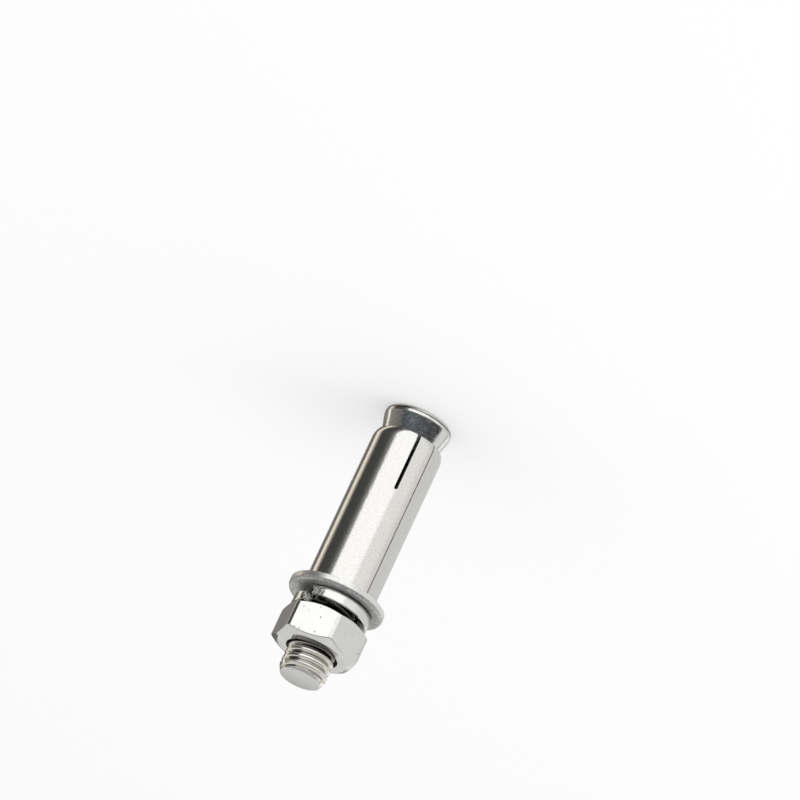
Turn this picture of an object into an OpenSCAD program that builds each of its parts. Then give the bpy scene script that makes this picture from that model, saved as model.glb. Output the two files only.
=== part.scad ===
// Sleeve anchor with a cone bolt, a slit expansion sleeve, a flat washer, a spring washer and a nut.
// It stands on the flat end of its cone with the threaded end up, in millimetres.
// The origin is the centre of the cone's end face.

/* [Bolt] */
// Length of the bolt from the flat end of its cone to its threaded end
bolt_len = 48.2; // [46:0.2:80]
// Outside diameter of the rolled thread
thread_d = 7.9; // [7.4:0.1:8]
// Pitch of the thread, which also sets its depth
thread_pitch = 1.25; // [1:0.05:1.5]
// Length of the threaded stretch
thread_len = 25; // [18:1:30]
// Length of thread that stands out of the nut
thread_out = 4.8; // [2:0.1:10]
// Angle between the chamfer at the threaded end and the bolt's axis, in degrees
point_angle = 25; // [20:1:45]
// How far the plain shank stays below the outside of the thread, on the radius
shank_step = 0.4; // [0.2:0.05:0.4]
// Radius of the fillet where the cone runs into the shank
neck_round = 2; // [0.5:0.1:3]

/* [Cone] */
// How far the rim of the cone stays inside the sleeve's outside, on the radius
rim_inset = 0.25; // [0.05:0.01:0.5]
// Height of the rim below the cone's flank, its rounded edge included
rim_h = 1.2; // [1:0.1:3]
// Radius of the rounded edge between the end face and the rim
rim_round = 0.75; // [0.2:0.05:0.9]
// Angle between the cone's flank and its axis, in degrees
cone_angle = 14.5; // [12:0.5:25]

/* [Sleeve] */
// Outside diameter of the sleeve, a little under that of the drilled hole
sleeve_od = 11.7; // [11.5:0.1:14]
// Thickness of the strip that the sleeve is rolled from
sleeve_wall = 1; // [0.8:0.05:1.3]
// Number of legs that the saw slits leave
leg_count = 4; // [3:1:6]
// Width of a saw slit
slit_w = 0.55; // [0.3:0.05:1.2]
// Length of a saw slit from the sleeve's mouth to its round end
slit_len = 10.2; // [6:0.1:14]
// How far the tips of the legs are swaged in, on the radius
mouth_inset = 0.5; // [0.2:0.05:0.7]
// Length of the swaged stretch of the legs
swage_len = 1.5; // [1:0.1:4]
// Width of the butt seam that runs down the sleeve
seam_w = 0.16; // [0.05:0.01:0.2]
// Direction of the butt seam, in degrees
seam_angle = -122; // [-135:1:-100]
// Bevel on the edges at the sleeve's upper end
sleeve_bevel = 0.15; // [0.05:0.05:0.3]
// Clearance between the leg tips and the cone that they rest on
seat_gap = 0.05; // [0.02:0.01:0.1]

/* [Flat washer] */
// Outside diameter of the flat washer
washer_od = 16; // [14.5:0.5:24]
// Clearance round the thread in the flat washer's hole, on the radius
washer_gap = 0.25; // [0.15:0.05:0.6]
// Thickness of the flat washer
washer_t = 1.4; // [1:0.1:2.5]
// Radius of the edge that the punch rounds over
washer_round = 0.5; // [0.1:0.05:0.6]

/* [Spring washer] */
// Clearance round the thread inside the spring washer, on the radius
spring_bore_gap = 0.3; // [0.15:0.05:0.4]
// Width of the spring washer's section, on the radius
spring_w = 2.1; // [1.6:0.1:2.6]
// Thickness of the spring washer's section
spring_t = 1.9; // [1.2:0.1:2.6]
// Height of the spring washer while it is slack, over both of its cut ends
spring_h = 3; // [2.8:0.1:4.2]
// Bevel that stands for the rounded edges of the rolled wire
spring_bevel = 0.2; // [0.05:0.05:0.4]
// Gap between the two cut ends, along the ring
spring_gap = 0.6; // [0.4:0.1:2]
// Slant of the cut ends away from the ring's axis, in degrees
spring_slant = 12; // [0:1:30]
// Direction of the gap, in degrees
spring_angle = -33; // [-90:1:90]
// Steps round the ring
spring_steps = 96; // [48:12:144]

/* [Nut] */
// Width of the nut across its flats
nut_af = 13; // [12:0.5:15]
// Height of the nut
nut_h = 6.1; // [5:0.1:7]
// How far the pressed corners fall short of a sharp hexagon, on the radius
nut_corner_trim = 0.18; // [0.05:0.01:0.3]
// How far the round bearing face stays inside the flats, on the radius
nut_face_inset = 0.6; // [0.3:0.1:0.9]
// Slope of the corner chamfer, in degrees
nut_chamfer_angle = 30; // [15:1:30]
// Width of the countersink round the nut's hole, on the radius
nut_sink = 0.4; // [0.2:0.1:0.6]
// Direction that one flat of the nut faces, in degrees
nut_angle = -63; // [-90:1:90]
// Running clearance between nut and thread, on the radius
nut_gap = 0.05; // [0.02:0.01:0.1]
// Clearance between the nut and the spring washer under it
stack_gap = 0.02; // [0:0.01:0.1]

/* [Hidden] */
$fn = 96;

// Steps in each rounded edge or fillet of a turned profile, and in the swaged stretch
round_steps = 8;
// How far a cutter runs past what it cuts, and how deep the thread starts inside the shank
over = 1;

// Bolt: a metric thread rolled on a thin blank, which leaves broad crests and shallow grooves
thread_r = thread_d / 2;
// Depth of the thread as a share of its pitch
depth_share = 0.45;
thread_depth = depth_share * thread_pitch;
root_r = thread_r - thread_depth;
thread_z = bolt_len - thread_len;
shank_r = thread_r - shank_step;
// Corners of one turn of the thread as [share of the pitch above its crest, share of the depth]
thread_corners = [[-7 / 16, 0], [-3 / 16, 1], [3 / 16, 1], [7 / 16, 0]];
// Steps round one turn of the thread
thread_steps = 32;

// Cone: its rim follows the sleeve, because both go down the same hole
sleeve_r = sleeve_od / 2;
rim_r = sleeve_r - rim_inset;
cone_top_z = rim_h + (rim_r - shank_r) / tan(cone_angle);

// Nut, spring washer and flat washer, each under the piece above it. A longer bolt has a longer sleeve.
nut_z = bolt_len - thread_out - nut_h;
washer_top_z = nut_z - stack_gap - spring_h;
sleeve_top_z = washer_top_z - washer_t;

// Sleeve: its mouth stands where the cone is as wide as the bore, less the clearance
bore_r = sleeve_r - sleeve_wall;
mouth_z = rim_h + (rim_r - bore_r + seat_gap) / tan(cone_angle);
sleeve_len = sleeve_top_z - mouth_z;

// Nut across its corners and its round faces
hex_corner_r = nut_af / 2 / cos(30);
nut_corner_r = hex_corner_r - nut_corner_trim;
nut_face_r = nut_af / 2 - nut_face_inset;
nut_bore_r = thread_r + nut_gap;
nut_sink_r = nut_bore_r + nut_sink;

// Points on an arc about [x, z], from angle a to angle b
function arc(x, z, r, a, b, steps = round_steps) =
    [for (i = [0 : steps]) let (t = a + (b - a) * i / steps) [x + r * cos(t), z + r * sin(t)]];

// The turned part of the stud: end face, rounded rim, flank, filleted neck and shank in one profile.
// The shank narrows to the root of the thread, which starts inside it.
module stud() {
    // Centre of the neck fillet, which touches both the flank and the shank
    fillet_x = shank_r + neck_round;
    fillet_z = cone_top_z + neck_round * tan(cone_angle / 2);
    // How far the end of the turned part stands out round the root of the thread
    ledge = 0.05;
    rotate_extrude() polygon(concat(
        [[0, 0]],
        arc(rim_r - rim_round, rim_round, rim_round, -90, 0),
        [[rim_r, rim_h]],
        arc(fillet_x, fillet_z, neck_round, 180 + cone_angle, 180),
        [
            [shank_r, thread_z - (shank_r - root_r)],
            [root_r + ledge, thread_z],
            [0, thread_z]
        ]));
}

// The rolled thread, right-handed: columns of points all round, joined to the next column along the helix.
// The first turn rises out of the shank, and a chamfer cuts the last ones off towards the end face.
module thread() {
    low_z = thread_z - over;
    turns = ceil((bolt_len - low_z) / thread_pitch) + 2;
    rows = len(thread_corners) * turns;
    // Height of row k in column j before it is held between the two ends
    function free_z(j, k) = low_z + thread_pitch * (j / thread_steps - 1
        + floor(k / len(thread_corners)) + thread_corners[k % len(thread_corners)][0]);
    function point(j, k) = let (
            z = min(max(free_z(j, k), low_z), bolt_len),
            rise = min(max((z - thread_z) / thread_pitch, 0), 1),
            share = thread_corners[k % len(thread_corners)][1] * rise,
            point_r = root_r + (bolt_len - z) * tan(point_angle),
            r = min(root_r + thread_depth * share, point_r),
            a = 360 * j / thread_steps
        ) [r * cos(a), r * sin(a), z];
    points = [for (j = [0 : thread_steps - 1], k = [0 : rows - 1]) point(j, k)];
    // The rows that stand for the lower and the upper end of each column
    first = [for (j = [0 : thread_steps - 1]) max([for (k = [0 : rows - 1]) if (free_z(j, k) <= low_z) k])];
    last = [for (j = [0 : thread_steps - 1]) min([for (k = [0 : rows - 1]) if (free_z(j, k) >= bolt_len) k])];
    // Number of a point: past the last column, the first one follows a whole turn further up
    function at(j, k) = j == thread_steps
        ? at(0, k + len(thread_corners))
        : j * rows + min(max(k, first[j]), last[j]);
    sides = [for (j = [0 : thread_steps - 1], k = [0 : rows - 2])
        each [[at(j, k), at(j, k + 1), at(j + 1, k + 1)], [at(j, k), at(j + 1, k + 1), at(j + 1, k)]]];
    // Where rows are held at an end, two corners of a triangle are one point, and it is left out
    faces = concat(
        [for (f = sides) if (f[0] != f[1] && f[1] != f[2] && f[2] != f[0]) f],
        [[for (j = [0 : thread_steps - 1]) at(j, 0)]],
        [[for (j = [thread_steps - 1 : -1 : 0]) at(j, rows - 1)]]);
    polyhedron(points, faces);
}

module cone_bolt() {
    color("silver") union() {
        stud();
        thread();
    }
}

// The rolled tube in section: outside swaged in towards the mouth, bevelled at the upper end
module sleeve_section() {
    // The swaged outside is an arc that leaves the plain tube without a kink
    swage_r = (pow(swage_len, 2) + pow(mouth_inset, 2)) / (2 * mouth_inset);
    swage_end = asin(swage_len / swage_r);
    polygon(concat(
        [[bore_r, mouth_z]],
        arc(sleeve_r - swage_r, mouth_z + swage_len, swage_r, -swage_end, 0),
        [
            [sleeve_r, sleeve_top_z - sleeve_bevel],
            [sleeve_r - sleeve_bevel, sleeve_top_z],
            [bore_r + sleeve_bevel, sleeve_top_z],
            [bore_r, sleeve_top_z - sleeve_bevel]
        ]));
}

// One saw slit through the wall on the +X side, open at the mouth and round at its inner end
module saw_slit() {
    end_z = mouth_z + slit_len - slit_w / 2;
    translate([0, -slit_w / 2, mouth_z - over])
        cube([sleeve_r + over, slit_w, end_z - mouth_z + over]);
    translate([0, 0, end_z])
        rotate([0, 90, 0])
            cylinder(h = sleeve_r + over, d = slit_w, $fn = 32);
}

module expansion_sleeve() {
    color("gainsboro") difference() {
        rotate_extrude() sleeve_section();
        for (i = [0 : leg_count - 1]) rotate([0, 0, 360 / leg_count * i]) saw_slit();
        // The butt seam, where the two edges of the strip meet
        rotate([0, 0, seam_angle])
            translate([0, -seam_w / 2, mouth_z - over])
                cube([sleeve_r + over, seam_w, sleeve_len + 2 * over]);
    }
}

// Punched ring: the punch rounds the outer edge of its upper face
module flat_washer() {
    hole_r = thread_r + washer_gap;
    rim = washer_od / 2;
    profile = concat(
        [[hole_r, sleeve_top_z], [rim, sleeve_top_z]],
        arc(rim - washer_round, washer_top_z - washer_round, washer_round, 0, 90),
        [[hole_r, washer_top_z]]);
    color("darkgray") rotate_extrude() polygon(profile);
}

// Split ring: a bevelled section that climbs clockwise, seen from above, from its lower cut end to its
// upper one. The cut leans so that the lower end bites downwards and the upper end bites upwards when
// the nut turns loose, and each section on the way round leans by the same angle.
module spring_washer() {
    inner_r = thread_r + spring_bore_gap;
    outer_r = inner_r + spring_w;
    mid_r = inner_r + spring_w / 2;
    // How far one cut end stands above the other
    rise = spring_h - spring_t;
    gap_turn = spring_gap / (2 * PI * mid_r) * 360;
    // Angle that the slant takes up over the thickness of the section
    lean = spring_t * tan(spring_slant) / (2 * PI * mid_r) * 360;
    run = 360 - gap_turn - lean;
    // Outline of the section as [radius, height above its underside]
    outline = [
        [inner_r + spring_bevel, 0], [outer_r - spring_bevel, 0],
        [outer_r, spring_bevel], [outer_r, spring_t - spring_bevel],
        [outer_r - spring_bevel, spring_t], [inner_r + spring_bevel, spring_t],
        [inner_r, spring_t - spring_bevel], [inner_r, spring_bevel]
    ];
    // One point of the outline, at share s of the way round
    function corner(s, c) = let (
            a = spring_angle - gap_turn / 2 - run * s - lean * c[1] / spring_t,
            z = washer_top_z + rise * s + c[1]
        ) [c[0] * cos(a), c[0] * sin(a), z];
    n = len(outline);
    points = [for (i = [0 : spring_steps], c = outline) corner(i / spring_steps, c)];
    sides = [for (i = [0 : spring_steps - 1], k = [0 : n - 1])
        [n * i + k, n * i + (k + 1) % n, n * (i + 1) + (k + 1) % n, n * (i + 1) + k]];
    last = n * spring_steps;
    faces = concat(
        [for (k = [1 : n - 2]) [0, k + 1, k]],
        sides,
        [for (k = [1 : n - 2]) [last, last + k, last + k + 1]]);
    color("lightgray") polyhedron(points, faces);
}

// Hexagon with softened corners that are turned off at both ends, bored and countersunk
module hex_nut() {
    corner_drop = (nut_corner_r - nut_face_r) * tan(nut_chamfer_angle);
    color("whitesmoke") translate([0, 0, nut_z]) difference() {
        intersection() {
            rotate([0, 0, nut_angle + 30]) cylinder(h = nut_h, r = hex_corner_r, $fn = 6);
            rotate_extrude() polygon([
                [0, 0],
                [nut_face_r, 0],
                [nut_corner_r, corner_drop],
                [nut_corner_r, nut_h - corner_drop],
                [nut_face_r, nut_h],
                [0, nut_h]
            ]);
        }
        translate([0, 0, -over]) cylinder(h = nut_h + 2 * over, r = nut_bore_r);
        // Countersinks at 45 degrees
        rotate_extrude() polygon([
            [0, -over],
            [nut_sink_r + over, -over],
            [nut_bore_r, nut_sink],
            [0, nut_sink]
        ]);
        rotate_extrude() polygon([
            [0, nut_h + over],
            [nut_sink_r + over, nut_h + over],
            [nut_bore_r, nut_h - nut_sink],
            [0, nut_h - nut_sink]
        ]);
    }
}

cone_bolt();
expansion_sleeve();
flat_washer();
spring_washer();
hex_nut();
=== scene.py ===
import math

import bmesh
import bpy
from mathutils import Matrix, Vector, noise


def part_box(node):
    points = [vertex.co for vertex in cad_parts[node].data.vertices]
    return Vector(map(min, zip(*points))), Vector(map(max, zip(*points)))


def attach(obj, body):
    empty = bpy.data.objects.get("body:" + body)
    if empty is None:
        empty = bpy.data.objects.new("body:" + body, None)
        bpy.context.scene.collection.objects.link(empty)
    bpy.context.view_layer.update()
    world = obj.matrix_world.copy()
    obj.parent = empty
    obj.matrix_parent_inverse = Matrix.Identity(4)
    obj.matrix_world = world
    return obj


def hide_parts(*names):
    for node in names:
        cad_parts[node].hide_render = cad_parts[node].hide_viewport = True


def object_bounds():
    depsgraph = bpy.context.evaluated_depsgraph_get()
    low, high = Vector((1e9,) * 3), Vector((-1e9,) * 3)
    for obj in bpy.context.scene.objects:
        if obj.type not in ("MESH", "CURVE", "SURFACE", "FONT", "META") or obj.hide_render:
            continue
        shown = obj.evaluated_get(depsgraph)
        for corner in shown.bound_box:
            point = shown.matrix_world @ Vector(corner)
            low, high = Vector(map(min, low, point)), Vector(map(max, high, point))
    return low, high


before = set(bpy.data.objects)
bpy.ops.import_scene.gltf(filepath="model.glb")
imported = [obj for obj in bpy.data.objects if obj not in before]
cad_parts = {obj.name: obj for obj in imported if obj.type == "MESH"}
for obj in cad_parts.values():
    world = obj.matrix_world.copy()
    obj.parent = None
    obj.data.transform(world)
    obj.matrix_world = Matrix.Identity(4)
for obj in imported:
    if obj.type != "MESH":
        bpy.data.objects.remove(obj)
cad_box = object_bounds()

MM = 0.001


# Camera
# It looks at the standing anchor from the side and the height at which the photograph shows it, through
# a long lens. It is rolled, because there the anchor points down to the left with its threaded end.

IMAGE_SIZE = 800
PIXELS_PER_MM = 6.35
VIEW_DIRECTION = math.radians(-80)
VIEW_HEIGHT = math.radians(22)
VIEW_ROLL = math.radians(-155)
VIEW_DISTANCE = 3.0
# In millimetres, as the camera takes its lens
SENSOR_WIDTH = 36
# Where the middle of the cone's end face lies in the picture
CONE_PIXEL = (419.8, 421.3)


def place_camera():
    toward = Vector((
        math.cos(VIEW_HEIGHT) * math.cos(VIEW_DIRECTION),
        math.cos(VIEW_HEIGHT) * math.sin(VIEW_DIRECTION),
        math.sin(VIEW_HEIGHT),
    ))
    level = Vector((-math.sin(VIEW_DIRECTION), math.cos(VIEW_DIRECTION), 0))
    upright = toward.cross(level)
    right = level * math.cos(VIEW_ROLL) + upright * math.sin(VIEW_ROLL)
    above = upright * math.cos(VIEW_ROLL) - level * math.sin(VIEW_ROLL)
    # The point that the camera aims at, level with the middle of the anchor along the line of sight
    middle = (cad_box[0] + cad_box[1]) / 2
    across, down = [(pixel - IMAGE_SIZE / 2) / PIXELS_PER_MM * MM for pixel in CONE_PIXEL]
    aim = toward * middle.dot(toward) - right * across + above * down

    lens = bpy.data.cameras.new("camera")
    lens.sensor_width = SENSOR_WIDTH
    lens.lens = SENSOR_WIDTH * VIEW_DISTANCE / (IMAGE_SIZE / PIXELS_PER_MM * MM)
    camera = bpy.data.objects.new("camera", lens)
    turn = Matrix((right, above, toward)).transposed().to_4x4()
    camera.matrix_world = Matrix.Translation(aim + toward * VIEW_DISTANCE) @ turn
    bpy.context.scene.collection.objects.link(camera)
    bpy.context.scene.camera = camera


place_camera()
bpy.context.scene.view_settings.view_transform = "Standard"


# Studio
# A pale floor, one wide lamp and a white tent. Polished steel has no colour of its own and shows what
# stands round it, so the tent that it reflects has lit walls, open gaps and one dark side.

FLOOR_SIZE = 6.0
# How far the floor's middle lies beside the anchor, so that the seam of its two triangles isn't under it
FLOOR_SHIFT = 0.5
FLOOR_COLOUR = (0.8, 0.8, 0.8, 1)
# What camera rays add to the floor, so that its open stretch is as white as the background
FLOOR_LIFT = 0.25
TENT_AMBIENT = (0.8, 0.8, 0.8)
WHITE = (1, 1, 1)
LAMP_POWER = 1.1
LAMP_SIZE = 0.5
LAMP_PLACE = Vector((-0.25, -0.35, 0.75))

# Walls of the tent as (direction in degrees, red, green, blue), below the horizon, level and above it
LOW_WALLS = [
    (-180, 0.92, 0.92, 0.90), (-153, 1.02, 1.01, 0.98), (-138, 1.20, 1.19, 1.15), (-102, 1.24, 1.23, 1.19),
    (-98, 1.62, 1.62, 1.60), (-32, 1.60, 1.60, 1.57), (-28, 0.52, 0.51, 0.50), (-22, 0.26, 0.26, 0.255),
    (-14, 0.13, 0.13, 0.13), (-7, 0.09, 0.09, 0.088), (18, 0.08, 0.08, 0.078), (25, 0.10, 0.098, 0.092),
    (30, 0.42, 0.37, 0.31), (36, 0.90, 0.81, 0.68), (42, 1.36, 1.26, 1.10), (48, 1.22, 1.13, 1.00),
    (54, 0.40, 0.37, 0.33), (58, 0.14, 0.135, 0.13), (66, 0.20, 0.19, 0.18), (80, 0.34, 0.33, 0.32),
    (100, 0.56, 0.56, 0.55), (130, 0.84, 0.84, 0.83), (160, 0.92, 0.92, 0.90),
]
LEVEL_WALLS = [
    (-180, 1.07, 1.07, 1.05), (-163, 1.04, 1.04, 1.03), (-159, 0.065, 0.065, 0.068),
    (-120, 0.085, 0.088, 0.095), (-60, 0.14, 0.155, 0.175), (-24, 0.09, 0.10, 0.115),
    (-15, 0.20, 0.19, 0.17), (4, 0.28, 0.265, 0.235), (28, 0.36, 0.34, 0.30), (34, 0.16, 0.145, 0.12),
    (38, 1.90, 1.85, 1.72), (43, 1.90, 1.85, 1.72), (47, 0.40, 0.38, 0.35), (66, 0.30, 0.285, 0.26),
    (78, 0.10, 0.10, 0.095), (95, 0.25, 0.25, 0.24), (112, 0.42, 0.41, 0.38), (122, 1.20, 1.18, 1.14),
    (150, 1.60, 1.58, 1.54), (155, 1.25, 1.23, 1.18), (158, 0.36, 0.29, 0.22), (160, 0.36, 0.29, 0.22),
    (163, 1.02, 1.00, 0.98), (180, 1.07, 1.07, 1.05),
]
HIGH_WALLS = [
    (-180, 0.98, 0.98, 0.95), (-120, 0.74, 0.75, 0.75), (-80, 0.62, 0.63, 0.64), (-30, 0.78, 0.78, 0.77),
    (40, 0.90, 0.90, 0.88), (100, 0.90, 0.90, 0.88), (150, 0.96, 0.96, 0.94),
]
# Sines of the heights between which one row of walls gives way to the next
LOW_TO_LEVEL = (-0.25, -0.14)
LEVEL_TO_HIGH = (0.19, 0.36)


def feed(tree, socket, term):
    """Gives an input socket a plain value, another socket's value or that of a node's first output."""
    if isinstance(term, bpy.types.Node):
        term = term.outputs[0]
    if isinstance(term, bpy.types.NodeSocket):
        tree.links.new(term, socket)
    else:
        socket.default_value = term


def wire(tree, kind, inputs=None, **settings):
    """Adds a node, sets its properties, feeds its inputs by name or number, and returns it."""
    node = tree.nodes.new(kind)
    for name, value in settings.items():
        setattr(node, name, value)
    for name, term in (inputs or {}).items():
        feed(tree, node.inputs[name], term)
    return node


def tree_of(*terms):
    """The node tree that holds the nodes and sockets among these terms."""
    return [t for t in terms if isinstance(t, (bpy.types.Node, bpy.types.NodeSocket))][0].id_data


def calc(operation, *terms):
    """The result of one Math node."""
    return wire(tree_of(*terms), "ShaderNodeMath", dict(enumerate(terms)), operation=operation).outputs[0]


def map_range(value, low, high, to_low=0.0, to_high=1.0, kind="SMOOTHSTEP"):
    """Value mapped from low..high to to_low..to_high, and held at both ends."""
    terms = dict(enumerate((value, low, high, to_low, to_high)))
    return wire(tree_of(value), "ShaderNodeMapRange", terms, interpolation_type=kind).outputs[0]


def mix_colour(share, first, second):
    """First colour where share is 0 and second where it is 1."""
    tree = tree_of(share)
    node = wire(tree, "ShaderNodeMix", data_type="RGBA")
    for name, term in (("Factor", share), ("A", first), ("B", second)):
        socket = [s for s in node.inputs if s.name == name and s.enabled][0]
        feed(tree, socket, (*term, 1) if isinstance(term, tuple) else term)
    return [s for s in node.outputs if s.enabled][0]


def split(point):
    """X, Y and Z of a point."""
    return wire(tree_of(point), "ShaderNodeSeparateXYZ", {0: point}).outputs


def wall_row(direction, walls):
    """A colour ramp round the horizon that closes on itself."""
    node = wire(tree_of(direction), "ShaderNodeValToRGB", {0: direction})
    stops = node.color_ramp.elements
    stops.remove(stops[1])
    for i, (degrees, *colour) in enumerate(walls):
        place = (degrees + 180) / 360
        stop = stops[0] if i == 0 else stops.new(place)
        stop.position = place
        stop.color = (*colour, 1)
    if walls[-1][0] < 180:
        stops.new(1).color = (*walls[0][1:], 1)
    return node


def light_tent():
    world = bpy.data.worlds.new("tent")
    bpy.context.scene.world = world
    world.use_nodes = True
    tree = world.node_tree
    tree.nodes.clear()
    x, y, z = split(wire(tree, "ShaderNodeTexCoord").outputs["Generated"])
    direction = calc("MULTIPLY_ADD", calc("ARCTAN2", y, x), 1 / (2 * math.pi), 0.5)
    low, level, high = [wall_row(direction, walls) for walls in (LOW_WALLS, LEVEL_WALLS, HIGH_WALLS)]
    lower = mix_colour(map_range(z, *LOW_TO_LEVEL), low, level)
    walls = mix_colour(map_range(z, *LEVEL_TO_HIGH), lower, high)
    rays = wire(tree, "ShaderNodeLightPath").outputs
    seen = mix_colour(rays["Is Glossy Ray"], TENT_AMBIENT, walls)
    seen = mix_colour(rays["Is Camera Ray"], seen, WHITE)
    background = wire(tree, "ShaderNodeBackground", {"Color": seen})
    wire(tree, "ShaderNodeOutputWorld", {"Surface": background})


def floor_paint():
    """A matt pale paint that is only there from above, so that a view from below isn't shut out."""
    paint = bpy.data.materials.new("pale_floor")
    paint.use_nodes = True
    tree = paint.node_tree
    tree.nodes.clear()
    matt = wire(tree, "ShaderNodeBsdfDiffuse", {"Color": FLOOR_COLOUR})
    seen = wire(tree, "ShaderNodeLightPath").outputs["Is Camera Ray"]
    lift = wire(tree, "ShaderNodeEmission", {"Strength": calc("MULTIPLY", seen, FLOOR_LIFT)})
    upper = wire(tree, "ShaderNodeAddShader", {0: matt, 1: lift})
    under = wire(tree, "ShaderNodeNewGeometry").outputs["Backfacing"]
    clear = wire(tree, "ShaderNodeBsdfTransparent")
    wire(tree, "ShaderNodeOutputMaterial", {
        "Surface": wire(tree, "ShaderNodeMixShader", {0: under, 1: upper, 2: clear}),
    })
    return paint


def lay_floor():
    mesh = bpy.data.meshes.new("floor")
    low, high = -FLOOR_SIZE / 2, FLOOR_SIZE / 2
    corners = [(low, low), (high, low), (high, high), (low, high)]
    mesh.from_pydata([(x + FLOOR_SHIFT, y - FLOOR_SHIFT, 0) for x, y in corners], [], [(0, 1, 2, 3)])
    mesh.materials.append(floor_paint())
    floor = bpy.data.objects.new("floor", mesh)
    bpy.context.scene.collection.objects.link(floor)
    # Steel that stands on the floor shows the tent's walls and not the floor
    floor.visible_glossy = False


def hang_lamp():
    lamp = bpy.data.lights.new("lamp", "AREA")
    lamp.size = LAMP_SIZE
    lamp.energy = LAMP_POWER
    holder = bpy.data.objects.new("lamp", lamp)
    holder.rotation_euler = (-LAMP_PLACE).to_track_quat("-Z", "Y").to_euler()
    holder.location = LAMP_PLACE
    holder.visible_glossy = False
    holder.visible_camera = False
    bpy.context.scene.collection.objects.link(holder)


light_tent()
lay_floor()
hang_lamp()


# Cone bolt
# One piece of stainless bar: the cone is headed at its lower end, the shank is left at the diameter of
# the blank and the thread is rolled into it, right-handed, and chamfered at the end.

PITCH = 1.25 * MM
THREAD_CREST = 3.95 * MM
THREAD_ROOT = THREAD_CREST - 0.45 * PITCH
THREAD_LENGTH = 25 * MM
THREAD_RUNOUT = 1.6 * PITCH
CREST_UNDER = 1 * MM
# Shares of a pitch from the middle of a root to the foot and the top of the straight flank
FLANK_FOOT = 1 / 16
FLANK_TOP = 5 / 16
# The higher this power, the fuller the rounded shoulders of the crest
SHOULDER_POWER = 3.0
SHANK_RADIUS = 3.55 * MM
RIM_RADIUS = 5.6 * MM
RIM_HEIGHT = 1.2 * MM
RIM_ROUND = 0.75 * MM
RIM_EASE = 0.12 * MM
CONE_ANGLE = math.radians(14.5)
NECK_ROUND = 2 * MM
POINT_SLOPE = math.tan(math.radians(25))
POINT_ROUND = 0.15 * MM
BOLT_SIDES = 144
# Rows of the thread's mesh in one pitch, and its height beyond the thread's length, in pitches
THREAD_ROWS = 20
SPARE_PITCHES = 1.1
# Points that lie closer than this are one point
WELD = 2e-6
SHARP = math.radians(35)
# A rounded corner takes at most this share of the sides that it joins. The points that hold the sides
# straight stand this many times its reach off
EASE_SHARE = 0.4
EASE_HOLD = 1.2
EASE_STEPS = 3

# Greys of the steels, from dull to bright, what marks them, and the painted shade on the thread
CONE_GREYS = ((0.50, 0.50, 0.495), (0.68, 0.68, 0.67))
PARTING_COLOUR = (0.06, 0.058, 0.055)
THREAD_GREYS = ((0.55, 0.535, 0.50), (0.72, 0.705, 0.67))
# Colour of the painted shade in the thread's roots and where the thread goes into the nut
THREAD_SHADE_COLOUR = (0.09, 0.082, 0.07)
END_GREYS = ((0.59, 0.59, 0.58), (0.66, 0.66, 0.65))
# Radius at which the scratches on the cone have their full sizes
CONE_SKIN = 5 * MM
# Where the heading die's parting line runs, and how far it reaches in full and at all
PARTING_HEIGHT = RIM_ROUND - 0.12 * MM
PARTING_REACH = (0.05 * MM, 0.2 * MM)
# How far painted shade reaches up from the roots of the thread, over what height the painted shade round the
# nut sets in, and where it ends, measured from the nut's top, with how ragged an edge
ROOT_SHADE_DEPTH = 0.22 * MM
NUT_SHADE_START = 1 * MM
NUT_SHADE_END = (-0.15 * MM, 0.25 * MM)
NUT_SHADE_RAGGED = 0.4 * MM
# The values between which nearly all of a noise lies: broad patches and fine grain
PATCH_SPREAD = (0.3, 0.7)
GRAIN_SPREAD = (0.36, 0.64)

bolt_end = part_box("cone_bolt")[1].z
thread_start = bolt_end - THREAD_LENGTH
# The painted shade on the thread runs under the washers and the nut, and shows where the thread goes into the
# nut
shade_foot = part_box("flat_washer")[0].z
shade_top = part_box("hex_nut")[1].z
# Height at which one crest of the helix crosses the +X side
crest_height = thread_start - CREST_UNDER


def new_tree(name, kind, inputs, outputs):
    """An empty node group, with its sockets' names listed by their kind, and its input node's outputs."""
    tree = bpy.data.node_groups.new(name, kind + "NodeTree")
    for way, sockets in (("INPUT", inputs), ("OUTPUT", outputs)):
        for socket_kind, labels in sockets.items():
            for label in labels:
                tree.interface.new_socket(label, in_out=way, socket_type="NodeSocket" + socket_kind)
    return tree, tree.nodes.new("NodeGroupInput").outputs


def close_tree(tree, results):
    """Feeds the group's outputs by name, and returns the tree."""
    wire(tree, "NodeGroupOutput", results)
    return tree


def off_axis(x, y):
    """Distance from Z."""
    return calc("SQRT", calc("MULTIPLY_ADD", x, x, calc("MULTIPLY", y, y)))


def round_z(radius, angle, height):
    """The point at a radius and an angle round Z and at a height."""
    return wire(tree_of(angle), "ShaderNodeCombineXYZ", {
        "X": calc("MULTIPLY", radius, calc("COSINE", angle)),
        "Y": calc("MULTIPLY", radius, calc("SINE", angle)),
        "Z": height,
    })


def move_points(geometry, place):
    return wire(tree_of(geometry), "GeometryNodeSetPosition", {"Geometry": geometry, "Position": place})


def end_tree(tree, geometry, steel):
    """Ends a tree with a plain mesh of one steel, and returns the tree."""
    real = wire(tree, "GeometryNodeRealizeInstances", {"Geometry": geometry})
    faced = wire(tree, "GeometryNodeSetMaterial", {"Geometry": real, "Material": steel})
    return close_tree(tree, {"Geometry": faced})


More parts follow.
